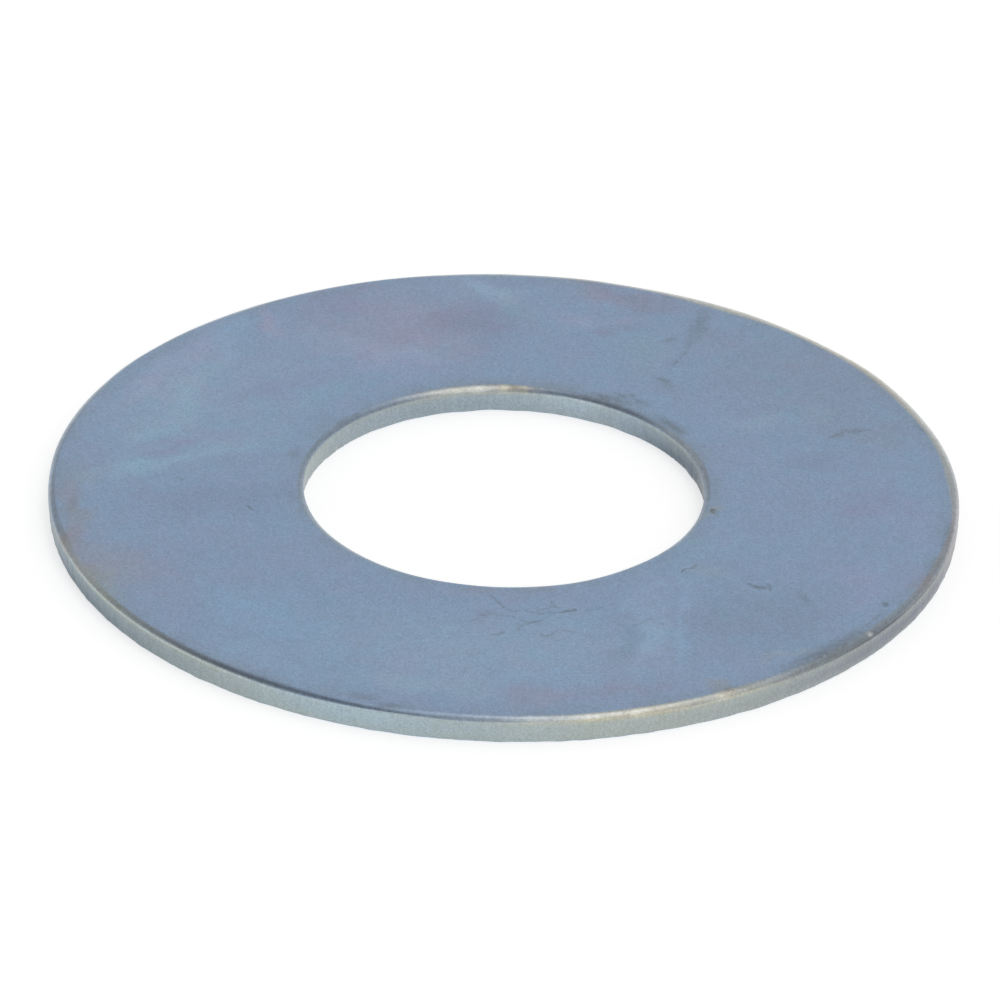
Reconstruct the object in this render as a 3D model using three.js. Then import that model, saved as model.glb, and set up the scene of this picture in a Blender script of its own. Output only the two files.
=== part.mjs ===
// A flat washer: one ring stamped from zinc-plated steel sheet.
//
// Millimetres. The origin is the centre of the hole on the bearing face that the washer lies on,
// and +Z runs along the hole's axis to the face with the rounded edges.
//
// One compound punch stroke cuts the rim and the hole together, so both cut walls have the same
// parts, from the top face down: a rolled-over edge, a straight burnished band, a torn band that
// leans away from the steel left behind, and a small break at the bottom edge.

import * as THREE from 'three';

// Driving dimensions
const OUTER_DIAMETER = 50;
const HOLE_DIAMETER = 22;
const THICKNESS = 1.5;

// The punched edge, as shares of the sheet's thickness
const ROLL_WIDTH = 0.3 * THICKNESS; // how far the rolled edge reaches in over the top face
const ROLL_DEPTH = 0.14 * THICKNESS; // how far it reaches down the wall
const TORN_HEIGHT = 0.5 * THICKNESS; // where the burnished band ends and the torn band begins
const TORN_SETBACK = 0.05 * THICKNESS; // how far the torn band has drawn back at the bottom
const EDGE_BREAK = 0.07 * THICKNESS; // the bottom edge's bevel, each way

// Smoothness
const RING_SEGMENTS = 120; // a multiple of four, so that corners fall on the X and Y axes
const ROLL_STEPS = 4; // straight steps along each rolled edge

const ZINC_PLATE = new THREE.MeshStandardMaterial({ color: 0x8395ad, roughness: 0.45, metalness: 1 });

/**
 * One punched wall as points of radius and height, from the bottom face up to the top face.
 * `away` is +1 on the rim, where the steel ends outwards, and -1 on the hole, where it ends inwards.
 */
function punchedWall(radius, away) {
  const point = (inset, height) => new THREE.Vector2(radius - away * inset, height);
  const wall = [
    point(TORN_SETBACK + EDGE_BREAK, 0),
    point(TORN_SETBACK, EDGE_BREAK),
    point(0, TORN_HEIGHT),
  ];
  for (let step = 0; step <= ROLL_STEPS; step++) {
    const turn = (step / ROLL_STEPS) * (Math.PI / 2);
    const inset = ROLL_WIDTH * (1 - Math.cos(turn));
    const drop = ROLL_DEPTH * (1 - Math.sin(turn));
    wall.push(point(inset, THICKNESS - drop));
  }
  return wall;
}

/** The ring: a closed section, up the rim, across the top, down the hole and back across the bottom. */
function washerGeometry() {
  const rim = punchedWall(OUTER_DIAMETER / 2, 1);
  const hole = punchedWall(HOLE_DIAMETER / 2, -1).reverse();
  const section = [...rim, ...hole, rim[0].clone()];
  const geometry = new THREE.LatheGeometry(section, RING_SEGMENTS);
  geometry.rotateX(Math.PI / 2); // a lathe turns about Y, and the hole's axis is Z
  return geometry;
}

const washer = new THREE.Mesh(washerGeometry(), ZINC_PLATE);
washer.name = 'flat_washer';

const part = new THREE.Group();
part.add(washer);

export default part;
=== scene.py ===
import math

import bpy
import numpy as np
from mathutils import Matrix, Vector


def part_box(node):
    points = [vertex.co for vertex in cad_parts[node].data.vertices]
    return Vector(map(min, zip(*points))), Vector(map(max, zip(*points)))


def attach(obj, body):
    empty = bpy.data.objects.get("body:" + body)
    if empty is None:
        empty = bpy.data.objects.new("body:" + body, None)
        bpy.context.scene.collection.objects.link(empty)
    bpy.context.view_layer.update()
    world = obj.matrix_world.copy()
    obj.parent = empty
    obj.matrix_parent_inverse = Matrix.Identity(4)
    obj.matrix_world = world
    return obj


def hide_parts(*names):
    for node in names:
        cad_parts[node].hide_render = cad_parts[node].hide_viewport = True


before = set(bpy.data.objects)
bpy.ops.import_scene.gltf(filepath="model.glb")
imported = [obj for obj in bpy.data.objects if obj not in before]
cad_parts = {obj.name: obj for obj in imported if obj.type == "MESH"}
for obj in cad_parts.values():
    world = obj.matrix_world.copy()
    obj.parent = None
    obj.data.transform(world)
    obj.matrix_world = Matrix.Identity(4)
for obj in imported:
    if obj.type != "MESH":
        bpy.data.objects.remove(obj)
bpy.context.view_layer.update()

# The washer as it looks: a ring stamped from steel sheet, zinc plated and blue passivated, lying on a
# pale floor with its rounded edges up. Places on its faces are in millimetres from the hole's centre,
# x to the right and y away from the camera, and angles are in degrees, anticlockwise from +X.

MM = 0.001
NODE, BODY, SLOT = "flat_washer", "root", "zinc_plate"

# Driving dimensions, from the frame
LOW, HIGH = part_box(NODE)
RIM_RADIUS = HIGH.x / MM
THICKNESS = (HIGH.z - LOW.z) / MM
HOLE_RADIUS = min(v.co.xy.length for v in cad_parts[NODE].data.vertices) / MM

# The punched edge, as shares of the thickness
ROLL_WIDTH = 0.28 * THICKNESS  # how far the rolled edge reaches in over the top face
ROLL_DEPTH = 0.17 * THICKNESS  # how far it reaches down the wall
TORN_TOP = 0.52 * THICKNESS  # where the burnished band ends and the torn band begins
TORN_SETBACK = 0.05 * THICKNESS  # how far the torn band has drawn back at the bottom
EDGE_BREAK = 0.05 * THICKNESS  # the bottom edge's bevel
ROLL_FLATNESS = 0.87  # 1 makes the roll a quarter of an ellipse, and less makes it flatter in the middle

# Where the rim's roll is wider: the angle, its spread, and how much wider and deeper, as shares
WIDE_ROLL = (50, 38, 1.0, 0.2)

# Unevenness: an amount, and the length of its waves in millimetres. The amounts for the roll and for the
# break are shares of their sizes, and the rest are in millimetres.
ROLL_WIDTH_WANDER = (0.10, 9)
ROLL_DEPTH_WANDER = (0.10, 7)
TORN_TOP_WANDER = (0.05, 5)
TORN_TOP_TEETH = (0.03, 0.9)
BURNISHED_LINES = (0.004, 0.5)
TORN_CRUMBS = (0.008, 0.45)
TORN_LUMPS = (0.006, 1.6)
RAGGED_BREAK = (0.3, 1.4)
TOP_FACE_DIPS = (0.004, 11)
LINE_STRETCH = 0.15  # less than 1 draws the burnished lines out along the punch's stroke

# The torn band leans: the share of its setback that it has at its top. It crumbles more and more from
# there down, and fully after the first third of its height.
SETBACK_AT_TOP = 0.25
CRUMBLE_ONSET = 3

# The least that the torn band and the bottom edge stand back, in millimetres
LEAST_SETBACK = 0.002
LEAST_BREAK = 0.02

# Mesh density
SEGMENTS = 960
FACE_RINGS = 40
ROLL_ROWS = 8
BURNISHED_ROWS = 4
TORN_ROWS = 7
BOTTOM_RINGS = 10

# Base colours of the plating, linear
FACE_COLOUR = (0.400, 0.549, 0.772)
WALL_COLOUR = (0.409, 0.453, 0.420)
EDGE_COLOUR = (0.440, 0.530, 0.625)


# ---------------------------------------------------------------- shape


def ripples(points, wavelength, seed, waves=28):
    """Smooth noise of about one unit at each point: a seeded sum of plane waves near one wavelength."""
    rng = np.random.default_rng(seed)
    headings = rng.normal(size=(waves, points.shape[-1]))
    headings /= np.linalg.norm(headings, axis=1)[:, None]
    lengths = wavelength * rng.uniform(0.6, 1.7, waves)
    phases = rng.uniform(0, 2 * math.pi, waves)
    total = np.zeros(points.shape[:-1])
    for heading, length, phase in zip(headings, lengths, phases):
        total += np.sin(2 * math.pi * (points @ heading) / length + phase)
    return total / math.sqrt(waves / 2)


def uneven(points, amount_and_length, seed):
    """Noise of some amount at each point, in waves of some length."""
    amount, length = amount_and_length
    return amount * ripples(points, length, seed)


def bell(angle, centre, spread):
    """1 at one angle round the ring, falling to about a third a spread away, and on to 0. In degrees."""
    away = np.abs((angle - centre + 180) % 360 - 180)
    return np.exp(-((away / spread) ** 2))


ANGLES = np.linspace(0, 360, SEGMENTS, endpoint=False)
AROUND = np.stack([np.cos(np.radians(ANGLES)), np.sin(np.radians(ANGLES))], axis=-1)


def punched_wall(radius, away, seed):
    """Rows of (radius, height, wallness, edge) round the ring, from the top face down to the bottom face.

    `away` is +1 on the rim, where the steel ends outwards, and -1 on the hole.
    """
    ring = AROUND * radius
    width = ROLL_WIDTH * (1 + uneven(ring, ROLL_WIDTH_WANDER, seed))
    depth = ROLL_DEPTH * (1 + uneven(ring, ROLL_DEPTH_WANDER, seed + 1))
    if away > 0:
        angle, spread, wider, deeper = WIDE_ROLL
        width *= 1 + wider * bell(ANGLES, angle, spread)
        depth *= 1 + deeper * bell(ANGLES, angle, spread)
    torn_top = TORN_TOP + uneven(ring, TORN_TOP_WANDER, seed + 2) + uneven(ring, TORN_TOP_TEETH, seed + 3)
    rows = []
    for step in range(ROLL_ROWS + 1):
        turn = math.pi / 2 * step / ROLL_ROWS
        inset = width * (1 - math.sin(turn) ** (1 / ROLL_FLATNESS))
        drop = depth * (1 - math.cos(turn) ** (1 / ROLL_FLATNESS))
        edge = math.sin(math.pi * step / ROLL_ROWS)
        rows.append((inset, THICKNESS - drop, step / ROLL_ROWS, edge))
    roll_bottom = THICKNESS - depth
    for step in range(1, BURNISHED_ROWS + 1):
        height = roll_bottom + (torn_top - roll_bottom) * step / BURNISHED_ROWS
        spot = np.concatenate([ring, LINE_STRETCH * height[:, None]], axis=-1)
        rows.append((np.abs(uneven(spot, BURNISHED_LINES, seed + 4)), height, 1, 0))
    for step in range(1, TORN_ROWS + 1):
        share = step / TORN_ROWS
        height = torn_top + (EDGE_BREAK - torn_top) * share
        spot = np.concatenate([ring, height[:, None]], axis=-1)
        crumble = uneven(spot, TORN_CRUMBS, seed + 5) + uneven(spot, TORN_LUMPS, seed + 6)
        lean = SETBACK_AT_TOP + (1 - SETBACK_AT_TOP) * share
        setback = TORN_SETBACK * lean + crumble * min(1, CRUMBLE_ONSET * share)
        rows.append((np.maximum(setback, LEAST_SETBACK), height, 1, 0))
    ragged = EDGE_BREAK * (1 + uneven(ring, RAGGED_BREAK, seed + 7))
    rows.append((TORN_SETBACK + np.maximum(ragged, LEAST_BREAK), 0, 0.5, 0))
    return [(radius - away * inset, height, wallness, edge) for inset, height, wallness, edge in rows]


def face_rows(inner, outer, height, count):
    """Rings between two edges of a face, without the edges themselves, going outwards."""
    rows = []
    for step in range(1, count):
        radius = inner + (outer - inner) * step / count
        rows.append((radius, height, 0, 0))
    return rows


def washer_rows():
    """Every row of the ring's closed section: over the top, down the rim, under and up the hole.

    The bottom face has one more ring close to each of its edges, so that it is shaded flat up to them.
    """
    rim = punched_wall(RIM_RADIUS, 1, 100)
    hole = punched_wall(HOLE_RADIUS, -1, 200)
    top = face_rows(hole[0][0], rim[0][0], THICKNESS, FACE_RINGS)
    inner, outer = hole[-1][0], rim[-1][0]
    bottom = face_rows(inner, outer, 0, BOTTOM_RINGS)
    bottom = [(inner + EDGE_BREAK, 0, 0, 0), *bottom, (outer - EDGE_BREAK, 0, 0, 0)]
    return top + rim + bottom[::-1] + hole[::-1]


def washer_mesh():
    """The ring's mesh, with each vertex's place, wallness and edge."""
    rows = [[np.broadcast_to(value, SEGMENTS) for value in row] for row in washer_rows()]
    radius, height, wallness, edge = np.array(rows).transpose(1, 2, 0)
    flat = AROUND[:, None, :] * radius[..., None]
    upper = height > TORN_TOP
    dip, length = TOP_FACE_DIPS
    height = height - upper * dip * (1 + np.tanh(ripples(flat, length, 7)))
    places = np.concatenate([flat, height[..., None]], axis=-1)
    corner = np.arange(radius.size).reshape(radius.shape)
    across = np.roll(corner, -1, axis=0)
    beyond = np.roll(corner, -1, axis=1)
    quads = np.stack([corner, beyond, np.roll(across, -1, axis=1), across], axis=-1)
    mesh = bpy.data.meshes.new("plated_washer")
    mesh.from_pydata((places.reshape(-1, 3) * MM).tolist(), [], quads.reshape(-1, 4).tolist())
    mesh.update()
    mesh.shade_smooth()
    return mesh, places.reshape(-1, 3), wallness.ravel(), edge.ravel()


# ---------------------------------------------------------------- marks

# How strongly the film is tinted
FILM_STRENGTH = 1.35

# Marks on the top face are drawn down to this height, as a share of the thickness
TOP_LEVEL = 0.84

# More than 1 makes a mark evener inside and its edge sharper than a plain bell
PATCH_FIRMNESS = 1.4

# How far the edges of the tints and of the stains wander: by how much, and in waves of what length, in
# millimetres
TINT_DRIFT, DRIFT_LENGTH = 0.4, 5
TINT_WISP, STAIN_WISP, WISP_LENGTH = 0.16, 0.07, 1.6

# The hazy margin along the edges of the top face: how wide, in millimetres, how even, and how long its
# patches are. By the hole it is stronger round one angle, with a spread.
HAZE_WIDTH = 0.7
HAZE_EVENNESS, HAZE_LENGTH = 0.6, 3
HOLE_HAZE, HOLE_HAZE_ANGLE, HOLE_HAZE_SPREAD = 1.2, 70, 50

# Interference tints in the passivation film: place, half length, half width, turn, and how much
# more or less red, green and blue the film gives back there.
TINTS = (
    # broad changes across the face
    ((17.0, 13.0), 9.0, 5.0, -45, (-0.01, -0.04, -0.055)),
    ((-12.5, -19.5), 3.0, 1.2, -30, (0.03, 0.05, 0.04)),
    ((22.5, -3.5), 2.4, 1.6, 90, (0.06, -0.02, 0.00)),
    ((0.0, -18.0), 9.0, 4.0, 0, (0.06, 0.06, 0.03)),
    ((-17.0, 9.0), 8.0, 5.0, 60, (0.05, 0.04, 0.02)),
    ((14.0, -14.0), 4.5, 3.0, 20, (-0.04, -0.055, -0.065)),
    ((-15.5, -2.5), 4.5, 1.8, 10, (-0.03, -0.05, -0.045)),
    # mauve cloud at the back
    ((-6.3, 18.2), 5.2, 4.2, 0, (0.12, -0.03, -0.04)),
    ((-1.8, 18.4), 2.2, 2.2, 0, (-0.05, -0.09, -0.08)),
    ((-8.0, 15.3), 3.4, 1.1, -12, (0.08, 0.05, 0.04)),
    ((-5.0, 14.2), 2.4, 0.8, 8, (0.06, 0.03, 0.01)),
    ((-6.0, 13.3), 3.0, 1.2, 8, (0.06, 0.02, 0.04)),
    ((-4.0, 16.4), 1.6, 0.8, -30, (0.05, 0.00, 0.00)),
    ((-11.5, 11.0), 2.4, 1.1, 40, (0.02, -0.04, -0.01)),
    ((-9.8, 21.0), 2.2, 1.1, 30, (-0.02, -0.04, -0.03)),
    # streaks and teal bands on the left
    ((-13.5, 18.6), 2.2, 0.6, 100, (0.16, 0.01, 0.01)),
    ((-15.6, 16.0), 3.0, 0.8, 85, (0.05, 0.06, 0.06)),
    ((-17.9, 14.7), 2.8, 1.0, 68, (0.13, 0.05, 0.05)),
    ((-19.9, 9.9), 2.6, 0.55, 72, (0.14, 0.06, 0.05)),
    ((-13.8, 9.8), 1.7, 0.9, 45, (0.00, -0.05, -0.035)),
    ((-18.3, 3.6), 1.0, 0.6, 35, (0.03, -0.07, -0.04)),
    ((-17.4, 11.6), 2.2, 0.7, 60, (0.03, 0.05, 0.02)),
    ((-18.4, 8.6), 2.8, 1.0, 68, (0.05, 0.09, 0.05)),
    ((-19.6, 4.6), 2.4, 0.6, 60, (0.02, 0.06, 0.03)),
    ((-20.8, 0.9), 2.6, 0.9, 22, (0.07, 0.11, 0.06)),
    ((-16.8, 2.3), 2.8, 0.8, 25, (0.05, 0.08, 0.04)),
    ((-13.4, 4.3), 2.2, 1.2, 45, (0.01, 0.05, 0.02)),
    ((-10.6, 9.9), 2.8, 1.3, 42, (0.00, 0.035, 0.01)),
    # back edge, to the right of the mauve cloud
    ((-1.2, 22.7), 2.4, 1.0, -8, (0.10, 0.09, 0.05)),
    ((0.4, 21.0), 2.2, 1.0, -60, (0.01, 0.01, -0.02)),
    ((-2.6, 22.6), 1.2, 0.8, -45, (0.00, 0.05, 0.04)),
    ((4.6, 22.3), 1.8, 0.9, -30, (0.06, -0.03, -0.04)),
    ((7.4, 21.8), 3.0, 1.1, -22, (0.02, -0.09, -0.10)),
    ((6.3, 18.4), 1.4, 0.7, 35, (0.03, -0.06, -0.06)),
    ((3.9, 19.0), 1.1, 1.1, 0, (0.12, 0.04, 0.03)),
    ((6.4, 19.9), 1.4, 0.3, 15, (0.12, 0.00, 0.00)),
    ((7.7, 15.6), 2.1, 1.3, 80, (0.00, 0.02, -0.02)),
    # right
    ((9.3, 11.2), 1.8, 1.2, -40, (-0.03, -0.045, -0.06)),
    ((14.0, 8.2), 1.6, 0.8, 15, (0.03, 0.05, 0.02)),
    ((17.2, 8.8), 1.0, 0.5, 10, (0.02, 0.04, 0.01)),
    ((20.0, 6.5), 2.0, 1.0, 0, (0.02, -0.03, -0.05)),
    ((17.0, 3.4), 2.2, 1.0, 15, (-0.03, -0.05, -0.05)),
    ((19.6, -1.5), 2.6, 1.9, 0, (0.03, -0.05, -0.03)),
    ((19.4, -10.0), 2.8, 1.9, -60, (0.07, -0.01, 0.01)),
    ((21.9, -9.6), 1.4, 0.7, -65, (0.03, -0.05, -0.08)),
    # left edge
    ((-21.9, -10.9), 4.5, 0.7, -63, (0.06, 0.01, -0.09)),
    ((-23.4, -4.0), 5.0, 0.9, 92, (0.08, -0.06, -0.12)),
    ((-21.3, -9.4), 3.4, 1.6, -55, (0.08, -0.03, -0.07)),
    ((-18.3, -10.2), 2.0, 1.4, -55, (0.05, -0.04, -0.04)),
    # front
    ((-12.0, -15.5), 4.2, 2.2, -35, (0.00, 0.045, 0.045)),
    ((-4.6, -21.7), 4.0, 1.1, -4, (0.06, 0.07, 0.03)),
    ((1.7, -22.9), 1.7, 0.8, 0, (0.04, -0.03, -0.04)),
    ((4.4, -22.2), 3.6, 1.1, 9, (0.05, -0.03, -0.03)),
    ((1.5, -21.0), 2.5, 0.8, 0, (0.00, 0.03, 0.04)),
    ((7.4, -21.8), 1.8, 0.7, 15, (0.02, -0.04, -0.04)),
    ((-0.6, -11.8), 2.6, 0.5, 0, (0.06, -0.02, -0.03)),
    ((6.0, -16.4), 2.2, 0.5, 88, (-0.07, -0.06, -0.06)),
    ((7.6, -15.0), 5.2, 0.55, 86, (0.06, 0.06, 0.05)),
    ((8.1, -16.4), 1.4, 0.45, 88, (0.06, 0.06, 0.05)),
    ((9.4, -15.2), 5.6, 0.5, 91, (0.05, 0.07, 0.07)),
    ((11.3, -9.2), 1.4, 0.6, -30, (0.03, 0.04, -0.01)),
    ((11.8, -21.2), 1.2, 0.5, 25, (0.12, 0.00, -0.08)),
    ((14.9, -17.7), 1.0, 0.5, 40, (0.10, 0.02, -0.04)),
    ((11.8, -2.4), 0.7, 0.25, 30, (0.14, 0.02, -0.10)),
    ((10.8, -6.6), 1.8, 1.0, 60, (0.00, 0.03, 0.01)),
)

# Grey-brown handling stains: place, half length, half width, turn, strength
STAINS = (
    ((17.5, -17.2), 3.4, 0.65, 46, 0.85),
    ((19.8, -15.1), 1.8, 0.50, 53, 0.40),
    ((15.9, -18.4), 0.8, 0.25, 42, 0.70),
    ((12.0, -21.5), 0.7, 0.35, 25, 0.70),
    ((-5.7, -23.9), 0.7, 0.30, 0, 0.70),
    ((-7.2, -23.0), 0.8, 0.35, -15, 0.55),
    ((5.7, 10.1), 1.3, 0.34, -28, 1.00),
    ((6.7, 10.5), 0.6, 0.25, -10, 0.80),
    ((7.6, 9.7), 0.6, 0.30, -25, 0.60),
    ((9.2, 7.1), 1.1, 0.35, -52, 0.95),
    ((11.45, -2.45), 0.14, 0.10, 60, 0.80),
    ((8.8, 12.2), 0.55, 0.20, -55, 0.90),
    ((9.2, 17.1), 0.45, 0.22, 20, 0.60),
    ((10.9, 19.0), 2.0, 0.55, 78, 0.50),
    ((11.3, 18.6), 0.3, 0.20, 80, 0.50),
    ((10.4, 17.0), 1.0, 0.18, 82, 0.50),
    ((9.9, 15.4), 0.8, 0.13, 68, 0.50),
    ((9.4, 14.4), 0.4, 0.15, 45, 0.50),
    ((18.5, 6.5), 0.7, 0.18, 48, 0.60),
    ((19.7, 7.0), 0.7, 0.18, 15, 0.65),
    ((23.1, 7.4), 0.8, 0.25, -68, 0.65),
    ((24.2, -4.6), 1.8, 0.30, 80, 0.55),
    ((23.3, -8.0), 1.6, 0.30, 70, 0.40),
    ((20.3, -13.3), 1.4, 0.20, 66, 0.35),
    ((16.3, -11.8), 0.8, 0.30, -70, 0.35),
    ((-23.5, -3.4), 1.0, 0.25, 90, 0.40),
    ((-11.7, 2.9), 0.6, 0.30, 75, 0.35),
    ((13.9, -10.6), 0.6, 0.16, -10, 0.75),
    ((-0.9, -14.25), 0.45, 0.22, 25, 0.55),
    ((1.8, -14.8), 0.7, 0.20, 12, 0.50),
    ((1.05, -15.5), 0.35, 0.15, 75, 0.75),
)

# Fine dark scratches: strength, half width, and the points that each runs through
SCRATCHES = (
    (0.60, 0.12, ((-0.6, -12.2), (-0.3, -12.6), (0.0, -13.1), (0.3, -13.6), (0.7, -13.85), (1.0, -13.7))),
    (0.45, 0.14, ((1.3, -13.75), (2.0, -13.95), (2.7, -13.9), (3.3, -13.8))),
    (0.90, 0.18, ((3.3, -13.8), (3.7, -13.6), (4.0, -13.55))),
    (0.55, 0.16, ((2.1, -13.7), (2.35, -13.45), (2.65, -13.25), (3.05, -13.35))),
    (0.65, 0.12, ((2.65, -12.7), (2.8, -13.0), (3.0, -13.35))),
    (0.60, 0.12, ((4.6, -13.6), (5.0, -13.35), (5.4, -13.2))),
    (0.40, 0.14, ((-0.5, -14.2), (0.1, -14.25), (0.6, -14.4), (1.2, -14.7))),
    (0.35, 0.12, ((-2.4, -15.1), (-1.8, -14.95), (-1.2, -14.65))),
    (0.40, 0.12, ((1.1, -15.3), (1.8, -14.9), (2.4, -14.5), (2.6, -14.0))),
    (0.65, 0.18, ((0.1, -16.0), (0.05, -16.15), (-0.4, -16.35))),
    (0.60, 0.14, ((2.1, -16.2), (2.4, -16.4), (2.75, -16.15), (2.9, -15.9))),
    (0.35, 0.14, ((3.3, -15.7), (3.9, -15.9))),
    (0.30, 0.12, ((4.3, -16.1), (4.7, -16.3))),
    (0.35, 0.10, ((-1.5, -12.2), (-1.3, -12.7))),
    (0.35, 0.12, ((7.0, -15.0), (7.6, -14.7), (8.0, -14.2))),
    (0.45, 0.12, ((8.5, -14.65), (8.7, -14.85))),
    (0.80, 0.16, ((-17.8, -0.10), (-17.7, -0.35))),
    (0.85, 0.12, ((-13.95, -3.0), (-13.7, -3.5))),
    (0.50, 0.10, ((-13.7, -2.4), (-13.6, -2.5))),
    (0.95, 0.20, ((20.6, -11.95), (20.6, -12.3))),
    (0.40, 0.10, ((20.2, -13.3), (19.9, -13.9), (19.5, -14.4))),
    (0.90, 0.14, ((10.4, -8.45), (10.3, -8.75), (9.9, -8.85), (9.75, -9.2))),
    (1.40, 0.20, ((11.4, -2.3), (11.45, -2.5))),
    (0.70, 0.14, ((13.3, -10.25), (13.7, -10.55), (14.3, -10.65))),
    (0.60, 0.12, ((14.35, -10.3), (14.4, -10.9))),
    (0.35, 0.10, ((14.8, 1.6), (15.2, 1.1), (15.5, 0.5))),
    (0.40, 0.12, ((10.1, 11.85), (10.5, 11.9))),
    (0.40, 0.10, ((11.3, 12.0), (11.8, 12.0))),
    (0.35, 0.12, ((-12.6, -1.8), (-12.2, -2.1))),
)

# Painted light and shade on the walls and their rolled edges, with a few tints of the film: painted
# highlights and glints where the rolls mirror the lights, the rim's between about 270 and 325 degrees and
# the hole's between about 80 and 120; painted paler and warmer bands along the rolls, and a painted pale
# reflection along the back and right of the rim; and painted shade and dark reflections on the walls and
# along the rolls. For each: which wall, the middle and the spread of the angle, the middle and the spread
# of the height, as shares of the thickness, and the change of colour
WALL_PAINTED_LIGHT_AND_TINTS = (
    (RIM_RADIUS, 200, 34, 0.40, 0.70, (-0.50, -0.42, -0.28)),
    (RIM_RADIUS, 250, 13, 0.60, 0.60, (0.00, 0.07, 0.18)),
    (RIM_RADIUS, 262, 16, 0.50, 0.70, (-0.08, -0.03, 0.06)),
    (RIM_RADIUS, 287, 14, 0.93, 0.16, (0.34, 0.10, -0.17)),
    (RIM_RADIUS, 300, 9, 0.90, 0.08, (0.58, 0.44, 0.26)),
    (RIM_RADIUS, 298, 1.0, 0.90, 0.08, (0.50, 0.45, 0.35)),
    (RIM_RADIUS, 325, 17, 0.84, 0.035, (-0.66, -0.62, -0.56)),
    (RIM_RADIUS, 322.3, 0.32, 0.92, 0.045, (2.00, 1.50, 1.10)),
    (RIM_RADIUS, 274, 0.9, 0.93, 0.14, (0.25, 0.20, 0.15)),
    (RIM_RADIUS, 281, 1.3, 0.93, 0.14, (0.25, 0.20, 0.15)),
    (RIM_RADIUS, 287, 0.8, 0.93, 0.14, (0.30, 0.25, 0.20)),
    (RIM_RADIUS, 212, 16, 0.95, 0.15, (0.20, 0.10, -0.06)),
    (RIM_RADIUS, 203, 8, 0.95, 0.15, (0.18, 0.28, 0.36)),
    (RIM_RADIUS, 205, 16, 0.08, 0.26, (-0.18, -0.18, -0.18)),
    (RIM_RADIUS, 226, 20, 0.86, 0.06, (0.32, 0.28, 0.18)),
    (RIM_RADIUS, 234, 13, 0.96, 0.04, (-0.26, -0.26, -0.24)),
    (RIM_RADIUS, 44, 54, 0.97, 0.16, (0.50, 0.27, 0.00)),
    (RIM_RADIUS, 335, 30, 0.40, 0.42, (-0.46, -0.48, -0.34)),
    (RIM_RADIUS, 353, 9, 0.50, 0.60, (0.14, 0.00, 0.00)),
    (HOLE_RADIUS, 100, 80, 0.40, 0.70, (-0.24, -0.18, -0.03)),
    (HOLE_RADIUS, 103, 16, 0.93, 0.14, (0.42, 0.18, -0.14)),
    (HOLE_RADIUS, 87, 6, 0.95, 0.12, (0.22, 0.00, -0.22)),
    (HOLE_RADIUS, 98, 1.8, 0.93, 0.14, (0.30, 0.25, 0.20)),
    (HOLE_RADIUS, 90.5, 1.2, 0.93, 0.14, (0.45, 0.38, 0.20)),
    (HOLE_RADIUS, 84.5, 0.9, 0.93, 0.10, (0.35, 0.25, 0.10)),
    (HOLE_RADIUS, 72, 12, 0.70, 0.50, (0.12, 0.16, 0.22)),
    (HOLE_RADIUS, 60, 18, 0.86, 0.06, (0.28, 0.26, 0.18)),
    (HOLE_RADIUS, 22, 20, 0.95, 0.14, (0.40, 0.32, 0.22)),
    (HOLE_RADIUS, 12, 22, 0.50, 0.60, (-0.65, -0.61, -0.54)),
    (HOLE_RADIUS, 48, 14, 0.60, 0.60, (-0.09, -0.06, 0.02)),
    (HOLE_RADIUS, 34, 16, 0.05, 0.35, (-0.32, -0.31, -0.28)),
)

# Thin dark lines on the walls and their rolled edges. Those at 325 degrees on the rim and 64 on the hole
# are painted shade, where the rolls mirror dark parts of the sky; the rest are dark lines and spots. How
# far they spread up and down, and for each one the wall, the middle and the spread of the angle, the height
# and the strength
WALL_LINE_SPREAD = 0.04
WALL_LINES_AND_PAINTED_SHADE = (
    (RIM_RADIUS, 325, 26, 0.86, 0.60),
    (RIM_RADIUS, 140, 55, 0.92, 0.30),
    (HOLE_RADIUS, 64, 14, 0.97, 0.95),
    (HOLE_RADIUS, 87.5, 1.2, 0.95, 0.90),
    (HOLE_RADIUS, 81, 1.6, 0.95, 1.00),
    (RIM_RADIUS, 301, 5, 0.97, 0.60),
    (HOLE_RADIUS, 150, 25, 0.95, 0.15),
)


def patch(flat, centre, length, width, turn):
    """How much of an oval patch covers each point: 1 in the middle, fading to 0."""
    turn = math.radians(turn)
    offset = flat - np.array(centre)
    along = offset @ np.array([math.cos(turn), math.sin(turn)])
    beside = offset @ np.array([-math.sin(turn), math.cos(turn)])
    return np.exp(-(((along / length) ** 2 + (beside / width) ** 2) ** PATCH_FIRMNESS))


def wall_patch(places, radius, angle, angle_spread, level, level_spread):
    """How much of a patch on one of the walls, and on the rolled edge above it, covers each point."""
    around = np.degrees(np.arctan2(places[:, 1], places[:, 0]))
    beside = np.abs(np.hypot(places[:, 0], places[:, 1]) - radius) < 3 * ROLL_WIDTH
    rise = places[:, 2] / THICKNESS - level
    return beside * bell(around, angle, angle_spread) * np.exp(-((rise / level_spread) ** 2))


def hazy_margin(flat):
    """How hazy the top face is at each point, along its edges."""
    reach = np.hypot(flat[:, 0], flat[:, 1])
    margin = np.minimum(RIM_RADIUS - reach, reach - HOLE_RADIUS) - ROLL_WIDTH
    patchy = HAZE_EVENNESS + (1 - HAZE_EVENNESS) * np.tanh(ripples(flat, HAZE_LENGTH, 35))
    haze = np.exp(-((np.maximum(margin, 0) / HAZE_WIDTH) ** 2)) * patchy
    around = np.degrees(np.arctan2(flat[:, 1], flat[:, 0]))
    by_hole = reach < 1.5 * HOLE_RADIUS
    return haze * (1 + HOLE_HAZE * bell(around, HOLE_HAZE_ANGLE, HOLE_HAZE_SPREAD) * by_hole)


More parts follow.
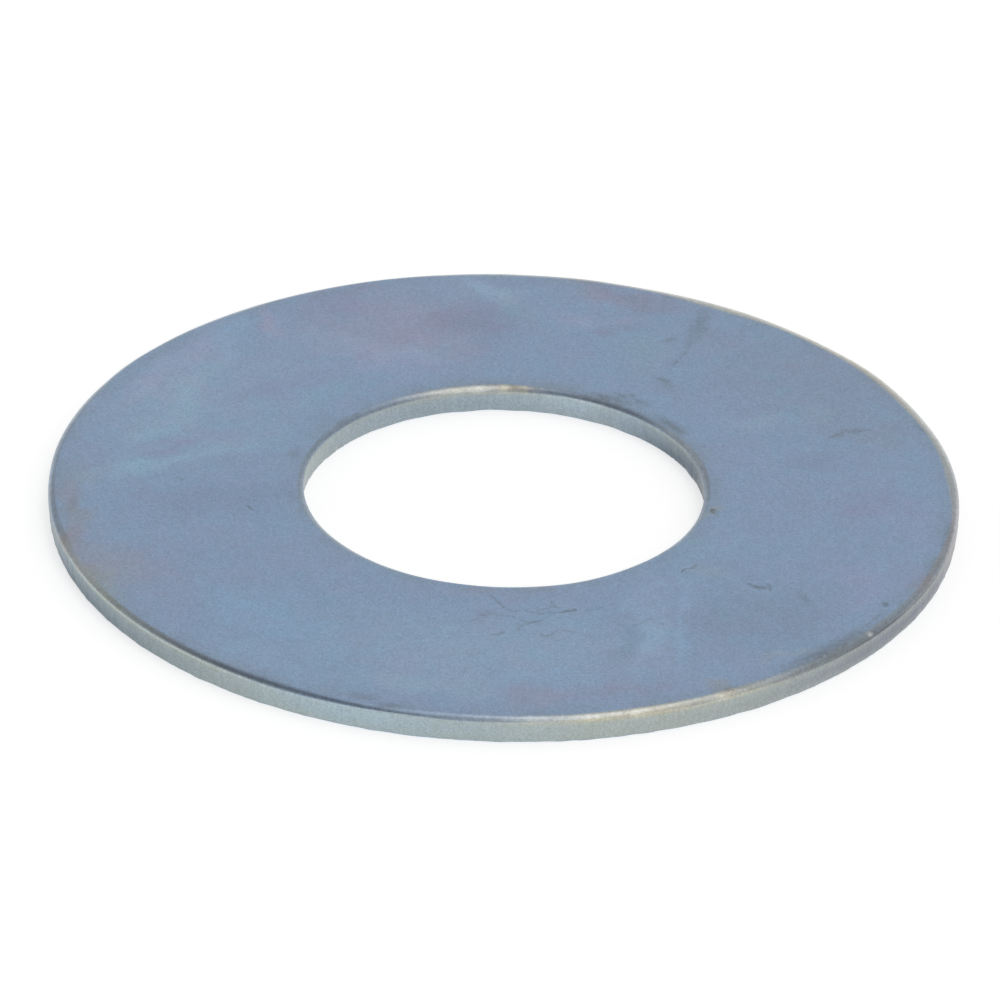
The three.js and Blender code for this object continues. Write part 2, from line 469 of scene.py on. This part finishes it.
def paint(mesh, places, wallness, edge):
    """Stores on the mesh, for its material to read, the film's tints with the painted light on the walls
    and rolls, the stains with the painted shade lines, and the kinds of surface.
    """
    flat, height = places[:, :2], places[:, 2]
    drift = np.stack([ripples(flat, DRIFT_LENGTH, 31), ripples(flat, DRIFT_LENGTH, 32)], axis=-1)
    wisp = np.stack([ripples(flat, WISP_LENGTH, 33), ripples(flat, WISP_LENGTH, 34)], axis=-1)
    cloudy = flat + TINT_DRIFT * drift + TINT_WISP * wisp
    rough = flat + STAIN_WISP * wisp
    top = height > TOP_LEVEL * THICKNESS
    on_wall = wallness > 0
    tint_and_painted_light = np.ones((len(places), 4))
    for centre, length, width, turn, colour in TINTS:
        cover = FILM_STRENGTH * patch(cloudy, centre, length, width, turn) * top
        tint_and_painted_light[:, :3] += cover[:, None] * np.array(colour)
    # painted highlights, glints, reflections and shade on the walls and rolled edges, with a few tints of
    # the film
    for *where, colour in WALL_PAINTED_LIGHT_AND_TINTS:
        tint_and_painted_light[:, :3] += (wall_patch(places, *where) * on_wall)[:, None] * np.array(colour)
    stain_and_painted_shade = np.zeros(len(places))
    for centre, length, width, turn, strength in STAINS:
        stain_and_painted_shade = np.maximum(stain_and_painted_shade, strength * patch(rough, centre, length, width, turn) * top)
    # the dark lines on the walls, some of them painted shade along the rolls
    for *where, strength in WALL_LINES_AND_PAINTED_SHADE:
        stain_and_painted_shade = np.maximum(stain_and_painted_shade, strength * wall_patch(places, *where, WALL_LINE_SPREAD) * on_wall)
    haze = hazy_margin(flat) * top
    mesh.attributes.new("tint_and_painted_light", "FLOAT_COLOR", "POINT").data.foreach_set("color", tint_and_painted_light.ravel())
    for name, values in (("stain_and_painted_shade", stain_and_painted_shade), ("haze", haze), ("wallness", wallness), ("edge", edge)):
        mesh.attributes.new(name, "FLOAT", "POINT").data.foreach_set("value", values)


# ---------------------------------------------------------------- materials

# More colours, linear: what the film's slow change of colour multiplies the faces by, from one extreme
# to the other, and the wall's second colour, the haze, the stains with the painted shade lines, and the
# scratches
FILM_WARM = (1.04, 0.975, 0.98)
FILM_COOL = (0.96, 1.025, 1.01)
WALL_BLOTCH_COLOUR = (0.413, 0.462, 0.447)
HAZE_COLOUR = (0.375, 0.455, 0.55)
STAIN_AND_SHADE_COLOUR = (0.205, 0.205, 0.190)
SCRATCH_COLOUR = (0.13, 0.125, 0.11)

# How far each covers the colour under it
HAZE_STRENGTH = 0.38
STAIN_AND_SHADE_STRENGTH = 0.68
SCRATCH_STRENGTH = 0.6

# How much darker and lighter the finish gets: its mottling, the walls' lines, the worn edges, the grain
MOTTLE_SHADES = (0.98, 1.02)
LINE_SHADES = (0.96, 1.04)
WEAR_SHADES = (0.82, 1.0)
GRAIN_SHADES = (0.81, 1.19)

# How patchy the stains with the painted shade lines, and the scratches, are: what is left of them where
# they are thinnest
STAIN_AND_SHADE_LEFT = 0.45
SCRATCH_LEFT = 0.35

# Scratches fade out down the walls between these heights, as shares of the thickness
SCRATCH_LEVELS = (0.55, 0.9)

# Roughness of the faces and of the walls, what the stains and painted shade lines add, and what a rolled
# edge takes away
SATIN_ROUGHNESS = (0.36, 0.44)
STREAK_ROUGHNESS = (0.32, 0.46)
STAIN_AND_SHADE_DULLNESS = 0.15
EDGE_POLISH = 0.10

# Sizes of the features in the finish, in millimetres
CLOUD_SIZE = 2.6
BLOTCH_SIZE = 1.8
SATIN_SIZE = 1.3
MOTTLE_SIZE = 1.1
WEAR_SIZE = 0.45
STREAK_SIZE = 0.30
STAIN_AND_SHADE_PATCH_SIZE = 0.28
LINE_SIZE = 0.20
GRAIN_SIZE = 0.12

# Scratches: how far they wander, in millimetres, in how many bends to a millimetre, and how long their
# gaps are
SCRATCH_WANDER = 0.35
SCRATCH_BENDS = 2.2
SCRATCH_GAP = 0.30

# Relief: its size and depth in millimetres
PITTING = (0.10, 0.0022)
SWELL = (0.7, 0.004)
LINE_DEPTH = 0.002

# Beyond any place on the washer, in millimetres
FAR = 1000.0


class Tree:
    """Short calls for adding linked shader nodes to one node tree."""

    def __init__(self, tree):
        self.tree = tree

    def add(self, kind, inputs=(), **settings):
        """A node with some settings. `inputs` maps a socket to a value, or to the output that feeds it."""
        node = self.tree.nodes.new(kind)
        for name, value in settings.items():
            setattr(node, name, value)
        for socket, value in dict(inputs).items():
            if isinstance(value, bpy.types.NodeSocket):
                self.tree.links.new(value, node.inputs[socket])
            else:
                node.inputs[socket].default_value = value
        return node

    def math(self, operation, *values, clamp=False):
        node = self.add("ShaderNodeMath", dict(enumerate(values)), operation=operation, use_clamp=clamp)
        return node.outputs[0]

    def vector(self, operation, *values):
        node = self.add("ShaderNodeVectorMath", dict(enumerate(values)), operation=operation)
        return node.outputs["Value" if operation in ("DOT_PRODUCT", "DISTANCE") else "Vector"]

    def scale(self, vector, factor):
        node = self.add("ShaderNodeVectorMath", {0: vector, "Scale": factor}, operation="SCALE")
        return node.outputs["Vector"]

    def noise(self, place, size, detail=2.0, roughness=0.5, distortion=0.0):
        """Noise with features of about one size, in the units of its place."""
        inputs = {
            "Vector": place,
            "Scale": 1 / size,
            "Detail": detail,
            "Roughness": roughness,
            "Distortion": distortion,
        }
        return self.add("ShaderNodeTexNoise", inputs).outputs["Fac"]

    def spread(self, value, low, high, to_low=0.0, to_high=1.0, smooth=True):
        """Maps low..high to to_low..to_high, and holds it there beyond."""
        inputs = {0: value, 1: low, 2: high, 3: to_low, 4: to_high}
        way = "SMOOTHSTEP" if smooth else "LINEAR"
        return self.add("ShaderNodeMapRange", inputs, interpolation_type=way).outputs[0]

    def mix(self, factor, first, second, blend="MIX"):
        inputs = {0: factor, 6: first, 7: second}
        return self.add("ShaderNodeMix", inputs, data_type="RGBA", blend_type=blend).outputs[2]

    def grey(self, value):
        """A colour with the same red, green and blue."""
        return self.add("ShaderNodeCombineColor", {0: value, 1: value, 2: value}).outputs[0]

    def attribute(self, name):
        return self.add("ShaderNodeAttribute", attribute_name=name).outputs


def draw_line(t, drawing, start, end, half_width, strength):
    """Adds one line to a drawing: a vector of place x and y, and in z the darkness drawn there so far."""
    run = Vector((end[0] - start[0], end[1] - start[1], 0))
    offset = t.vector("MULTIPLY_ADD", drawing, (1, 1, 0), (-start[0], -start[1], 0))
    share = t.math("MULTIPLY", t.vector("DOT_PRODUCT", offset, run), 1 / run.length_squared, clamp=True)
    gap = t.vector("DISTANCE", offset, t.scale(run, share))
    darkness = t.math("MULTIPLY_ADD", gap, -strength / half_width, strength, clamp=True)
    mark = t.add("ShaderNodeCombineXYZ", {0: -FAR, 1: -FAR, 2: darkness}).outputs[0]
    return t.vector("MAXIMUM", drawing, mark)


def scratch_mask(t, place):
    """The fine scratches together, wandering a little and broken up along their length."""
    noise = t.add("ShaderNodeTexNoise", {"Vector": place, "Scale": SCRATCH_BENDS, "Detail": 2.0})
    wander = t.vector("SUBTRACT", noise.outputs["Color"], (0.5, 0.5, 0.5))
    shifted = t.vector("ADD", place, t.scale(wander, SCRATCH_WANDER))
    drawing = t.vector("MULTIPLY", shifted, (1, 1, 0))
    for strength, half_width, points in SCRATCHES:
        for start, end in zip(points, points[1:]):
            drawing = draw_line(t, drawing, start, end, half_width, strength)
    darkness = t.add("ShaderNodeSeparateXYZ", {0: drawing}).outputs["Z"]
    broken = t.spread(t.noise(place, SCRATCH_GAP, 3, 0.6), 0.34, 0.62, SCRATCH_LEFT, 1.0)
    return t.math("MULTIPLY", darkness, broken)


def speckle(t, place, size, low, high, detail=3, roughness=0.6):
    """Noise with features of about one size, between a low and a high value."""
    return t.spread(t.noise(place, size, detail, roughness), 0.3, 0.7, low, high, smooth=False)


def film_colour(t, place, haze):
    """The film on the faces: it changes slowly from warm to cool, and is hazy along the edges."""
    cloud = t.spread(t.noise(place, CLOUD_SIZE, 4, 0.6, 0.9), 0.3, 0.7, smooth=False)
    face = t.mix(cloud, (*FILM_WARM, 1), (*FILM_COOL, 1))
    face = t.mix(1.0, face, (*FACE_COLOUR, 1), "MULTIPLY")
    face = t.mix(t.math("MULTIPLY", haze, HAZE_STRENGTH), face, (*HAZE_COLOUR, 1))
    return t.mix(1.0, face, t.grey(speckle(t, place, MOTTLE_SIZE, *MOTTLE_SHADES)), "MULTIPLY")


def wall_colour(t, place, scored):
    """The sheared walls: blotchy, and lighter and darker along the lines that the punch scored."""
    blotch = t.spread(t.noise(place, BLOTCH_SIZE, 3, 0.55), 0.3, 0.7)
    wall = t.mix(blotch, (*WALL_COLOUR, 1), (*WALL_BLOTCH_COLOUR, 1))
    shade = t.spread(scored, 0, 1, *LINE_SHADES, smooth=False)
    return t.mix(1.0, wall, t.grey(shade), "MULTIPLY")


def edge_colour(t, place):
    """The rolled edges, darker where they are worn."""
    wear = t.grey(speckle(t, place, WEAR_SIZE, *WEAR_SHADES))
    return t.mix(1.0, (*EDGE_COLOUR, 1), wear, "MULTIPLY")


def grained(t, place, colour):
    """A colour with the plating's fine grain in it."""
    grain = t.spread(t.noise(place, GRAIN_SIZE, 2, 0.7), 0.25, 0.75, *GRAIN_SHADES, smooth=False)
    return t.mix(1.0, colour, t.grey(grain), "MULTIPLY")


def stains_and_shade(t, place, stain_and_painted_shade):
    """The stains and the painted shade lines, broken into patches."""
    patchy = t.spread(t.noise(place, STAIN_AND_SHADE_PATCH_SIZE, 4, 0.7), 0.34, 0.64, STAIN_AND_SHADE_LEFT, 1.0)
    return t.math("MULTIPLY", stain_and_painted_shade, patchy, clamp=True)


def marked(t, place, colour, stain_and_shade):
    """A colour with the stains and the painted shade lines over it, and the scratches over them on the top
    face.
    """
    colour = t.mix(t.math("MULTIPLY", stain_and_shade, STAIN_AND_SHADE_STRENGTH), colour, (*STAIN_AND_SHADE_COLOUR, 1))
    height = t.add("ShaderNodeSeparateXYZ", {0: place}).outputs["Z"]
    on_top = t.spread(height, *(level * THICKNESS for level in SCRATCH_LEVELS))
    scratches = t.math("MULTIPLY", scratch_mask(t, place), on_top)
    scratches = t.math("MULTIPLY", scratches, SCRATCH_STRENGTH, clamp=True)
    return t.mix(scratches, colour, (*SCRATCH_COLOUR, 1))


def surface_roughness(t, place, upright, wallness, edge, stain_and_shade):
    """Satin faces, streaky walls, smoother rolled edges, and duller stains and painted shade lines."""
    satin = speckle(t, place, SATIN_SIZE, *SATIN_ROUGHNESS, detail=4)
    streaks = speckle(t, upright, STREAK_SIZE, *STREAK_ROUGHNESS, detail=2, roughness=0.5)
    roughness = t.add("ShaderNodeMix", {0: wallness, 2: satin, 3: streaks}).outputs[0]
    roughness = t.math("ADD", roughness, t.math("MULTIPLY", stain_and_shade, STAIN_AND_SHADE_DULLNESS), clamp=True)
    return t.math("SUBTRACT", roughness, t.math("MULTIPLY", edge, EDGE_POLISH), clamp=True)


def surface_normal(t, place, scored, wallness):
    """The plating's pitting and its gentle swell, and the lines scored down the walls."""
    (pit_size, pit_depth), (swell_size, swell_depth) = PITTING, SWELL
    relief = t.math("MULTIPLY", t.noise(place, pit_size, 2, 0.6), pit_depth)
    relief = t.math("ADD", relief, t.math("MULTIPLY", t.noise(place, swell_size, 3, 0.5), swell_depth))
    lines = t.math("MULTIPLY", t.math("MULTIPLY", scored, wallness), LINE_DEPTH)
    relief = t.math("SUBTRACT", relief, lines)
    inputs = {"Height": t.math("MULTIPLY", relief, MM), "Strength": 1.0, "Distance": 1.0}
    return t.add("ShaderNodeBump", inputs).outputs["Normal"]


def zinc_material():
    """Blue-passivated zinc plate: satin, softly iridescent faces and greyer sheared walls, with painted
    highlights, reflections and shade on the walls and rolled edges.
    """
    material = bpy.data.materials.new("zinc_plate")
    material.use_nodes = True
    material.node_tree.nodes.clear()
    t = Tree(material.node_tree)
    place = t.scale(t.add("ShaderNodeTexCoord").outputs["Object"], 1 / MM)
    wallness = t.attribute("wallness")["Fac"]
    edge = t.attribute("edge")["Fac"]
    upright = t.vector("MULTIPLY", place, (1.0, 1.0, LINE_STRETCH))
    scored = speckle(t, upright, LINE_SIZE, 0, 1)

    face = film_colour(t, place, t.attribute("haze")["Fac"])
    colour = t.mix(wallness, face, wall_colour(t, place, scored))
    colour = t.mix(edge, colour, edge_colour(t, place))
    # The tint attribute holds the film's tints and the painted highlights, reflections and shade on the
    # walls and rolled edges.
    colour = t.mix(1.0, colour, t.attribute("tint_and_painted_light")["Color"], "MULTIPLY")
    colour = grained(t, place, colour)
    # The stain attribute holds the stains and the painted shade lines along the rolls.
    stain_and_shade = stains_and_shade(t, place, t.attribute("stain_and_painted_shade")["Fac"])

    plating = t.add("ShaderNodeBsdfPrincipled", {
        "Base Color": marked(t, place, colour, stain_and_shade),
        "Metallic": 1.0,
        "Roughness": surface_roughness(t, place, upright, wallness, edge, stain_and_shade),
        "Normal": surface_normal(t, place, scored, wallness),
    })
    t.add("ShaderNodeOutputMaterial", {"Surface": plating.outputs[0]})
    return material


# ---------------------------------------------------------------- the washer


def add_washer():
    mesh, places, wallness, edge = washer_mesh()
    paint(mesh, places, wallness, edge)
    mesh.materials.append(zinc_material())
    washer = bpy.data.objects.new("plated_washer", mesh)
    bpy.context.scene.collection.objects.link(washer)
    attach(washer, BODY)
    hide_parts(NODE)


# ---------------------------------------------------------------- stage, light and camera

FLOOR_HALF = 4.0  # in metres
FLOOR_GAP = 0.01 * MM
FLOOR_COLOUR = (0.65, 0.65, 0.65)
FLOOR_ROUGHNESS = 0.9
FLOOR_SPECULAR = 0.1
FLOOR_GLOW = 0.62


def add_floor():
    """A plain pale floor just under the washer, glowing a little like a light table."""
    mesh = bpy.data.meshes.new("floor")
    signs = ((-1, -1), (1, -1), (1, 1), (-1, 1))
    corners = [(x * FLOOR_HALF, y * FLOOR_HALF, -FLOOR_GAP) for x, y in signs]
    mesh.from_pydata(corners, [], [(0, 1, 2, 3)])
    material = bpy.data.materials.new("floor")
    material.use_nodes = True
    surface = material.node_tree.nodes["Principled BSDF"].inputs
    surface["Base Color"].default_value = (*FLOOR_COLOUR, 1)
    surface["Roughness"].default_value = FLOOR_ROUGHNESS
    surface["Specular IOR Level"].default_value = FLOOR_SPECULAR
    surface["Emission Color"].default_value = (1, 1, 1, 1)
    surface["Emission Strength"].default_value = FLOOR_GLOW
    mesh.materials.append(material)
    floor = bpy.data.objects.new("floor", mesh)
    bpy.context.scene.collection.objects.link(floor)


def heading(azimuth, elevation):
    """The direction at an azimuth, anticlockwise from +X, and an elevation, both in degrees."""
    azimuth, elevation = math.radians(azimuth), math.radians(elevation)
    return (
        math.cos(elevation) * math.cos(azimuth),
        math.cos(elevation) * math.sin(azimuth),
        math.sin(elevation),
    )


# Soft lights round the object: azimuth, elevation, the angle that each is even over, the angle that it
# fades out at, and how much brighter it is than the sky
LIGHTS = (
    (12, 79, 3, 20, 1.00),
    (-57, 58, 3, 20, 0.96),
    (-66, 30, 3, 18, 0.90),
    (76, 66, 3, 18, 0.50),
)
SKY = 0.495
# The brightness at the horizon, and the elevations between which it gives way to the sky
HORIZON = 1.00
HORIZON_FADE = (5, 20)
# A dark card that shades one side of the sky: the same angles, and the share of the light it takes away
CARD = (200, 56, 10, 38, 0.56)


def add_light():
    """A sky that is brightest at the horizon, with soft lights in it and a dark card to one side."""
    world = bpy.data.worlds.new("studio")
    bpy.context.scene.world = world
    world.use_nodes = True
    world.node_tree.nodes.clear()
    t = Tree(world.node_tree)
    direction = t.vector("NORMALIZE", t.add("ShaderNodeTexCoord").outputs["Generated"])

    def lobe(azimuth, elevation, even, faded):
        cosine = t.vector("DOT_PRODUCT", direction, heading(azimuth, elevation))
        return t.spread(cosine, math.cos(math.radians(faded)), math.cos(math.radians(even)))

    glow = SKY
    for azimuth, elevation, even, faded, strength in LIGHTS:
        glow = t.math("ADD", glow, t.math("MULTIPLY", lobe(azimuth, elevation, even, faded), strength))
    shade = t.math("MULTIPLY", lobe(*CARD[:4]), CARD[4])
    glow = t.math("MULTIPLY", glow, t.math("SUBTRACT", 1.0, shade))
    up = t.add("ShaderNodeSeparateXYZ", {0: direction}).outputs["Z"]
    above = t.spread(up, *(math.sin(math.radians(elevation)) for elevation in HORIZON_FADE))
    horizon = t.math("MULTIPLY", HORIZON, t.math("SUBTRACT", 1.0, above))
    glow = t.math("ADD", t.math("MULTIPLY", glow, above), horizon)
    background = t.add("ShaderNodeBackground", {"Strength": glow, "Color": (1.0, 1.0, 1.0, 1)})
    t.add("ShaderNodeOutputWorld", {"Surface": background.outputs[0]})


# The camera: angles in degrees, places in millimetres
CAMERA_ELEVATION = 29.47
CAMERA_ROLL = 1.35
CAMERA_DISTANCE = 9.0 * 2 * RIM_RADIUS
CAMERA_AIM = (-0.2, 0.88, 0.0)
LENS = 294.0
SENSOR = 36.0
NEAREST, FARTHEST = 0.01, 20  # what the camera sees, in metres


def add_camera():
    """A long lens in front of the washer, looking down on it, and rolled a little."""
    elevation, roll = math.radians(CAMERA_ELEVATION), math.radians(CAMERA_ROLL)
    back = Vector((0, -math.cos(elevation), math.sin(elevation)))
    level = Vector((1, 0, 0))
    up = back.cross(level)
    right = level * math.cos(roll) + up * math.sin(roll)
    top = up * math.cos(roll) - level * math.sin(roll)
    data = bpy.data.cameras.new("camera")
    data.lens, data.sensor_width = LENS, SENSOR
    data.clip_start, data.clip_end = NEAREST, FARTHEST
    camera = bpy.data.objects.new("camera", data)
    place = (Vector(CAMERA_AIM) + back * CAMERA_DISTANCE) * MM
    camera.matrix_world = Matrix.Translation(place) @ Matrix((right, top, back)).transposed().to_4x4()
    bpy.context.scene.collection.objects.link(camera)
    bpy.context.scene.camera = camera


add_camera()
add_light()
add_floor()
add_washer()
bpy.context.scene.view_settings.view_transform = "Standard"

bpy.context.view_layer.update()
